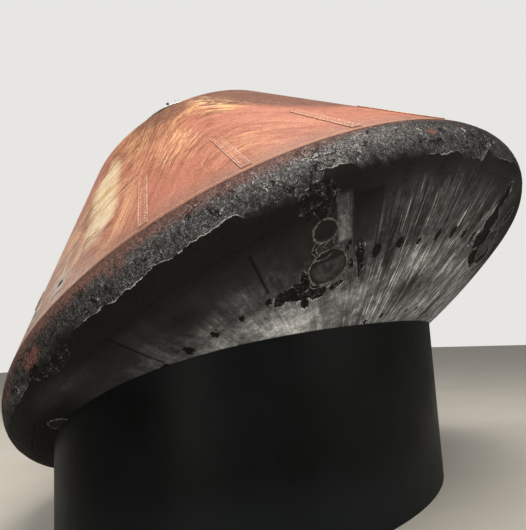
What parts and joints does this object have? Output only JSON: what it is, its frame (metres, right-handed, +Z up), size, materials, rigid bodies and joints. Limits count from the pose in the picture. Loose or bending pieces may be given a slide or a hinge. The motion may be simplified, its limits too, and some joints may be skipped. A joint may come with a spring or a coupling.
{
  "type": "space capsule on plinth",
  "caption": "Conical re-entry space capsule with charred shield and scorched wall, tilted on an oval plinth, with an outward-opening crew hatch and a hollow cabin.",
  "frame": {"origin": "centre of the plinth's foot, on the floor", "axes": "+Z up, +Y towards the raised side of the capsule's rim, +X along the plinth's long axis"},
  "size_m": [3.9117, 3.4196, 3.2048],
  "materials": {
    "plinth_paint": "matt black paint",
    "charred_shield": "charred",
    "tie_pad": "charred",
    "scorched_wall": "scorched",
    "scorched_plate": "scorched",
    "bare_metal": "dull",
    "loop_steel": "worn",
    "nozzle_lining": "sooty",
    "window_glass": "sooty",
    "aid_enamel": "satin",
    "cabin_grey": "satin",
    "couch_cloth": "woven"
  },
  "bodies": {
    "capsule": {"plinth": "plinth_paint", "aft_heat_shield": "charred_shield", "shield_tie_pads": "tie_pad", "heat_shield_rim": "charred_shield", "window_frames": "bare_metal", "window_panes": "window_glass", "crew_wall_hatch_side": "scorched_wall", "crew_wall_right": "scorched_wall", "crew_wall_left": "scorched_wall", "thruster_nozzles": "nozzle_lining", "thruster_plates": "scorched_plate", "lower_panel_right": "scorched_wall", "lower_panel_raised": "scorched_wall", "lower_panel_left": "scorched_wall", "lower_panel_hatch": "scorched_wall", "panel_joint_strips": "scorched_wall", "forward_deck": "bare_metal", "docking_tunnel": "bare_metal", "docking_ring": "bare_metal", "tunnel_hatch": "bare_metal", "deck_gussets": "bare_metal", "drogue_mortars": "bare_metal", "pilot_mortars": "bare_metal", "float_bag_cans": "bare_metal", "recovery_loop": "loop_steel", "recovery_aids": "aid_enamel", "umbilical_socket": "bare_metal", "wall_vents": "scorched_plate", "flush_antennas": "scorched_plate", "handrails": "loop_steel", "cabin_floor": "cabin_grey", "couch_left": "couch_cloth", "couch_centre": "couch_cloth", "couch_right": "couch_cloth", "couch_frame": "bare_metal", "display_console": "cabin_grey", "equipment_bay": "cabin_grey", "hatch_hinge_brackets": "loop_steel"},
    "crew_hatch": {"hatch_leaf": "scorched_wall", "hatch_window_frame": "bare_metal", "hatch_window_pane": "window_glass", "hatch_handle": "loop_steel", "hatch_hinge_arms": "loop_steel"}
  },
  "joints": [
    {"name": "hatch_swing", "type": "hinge", "parent": "capsule", "child": "crew_hatch", "pos_m": [0.41, -1.49526, 1.36158], "axis": [0, 0.041, 0.9992], "range_deg": [0, 105]}
  ]
}
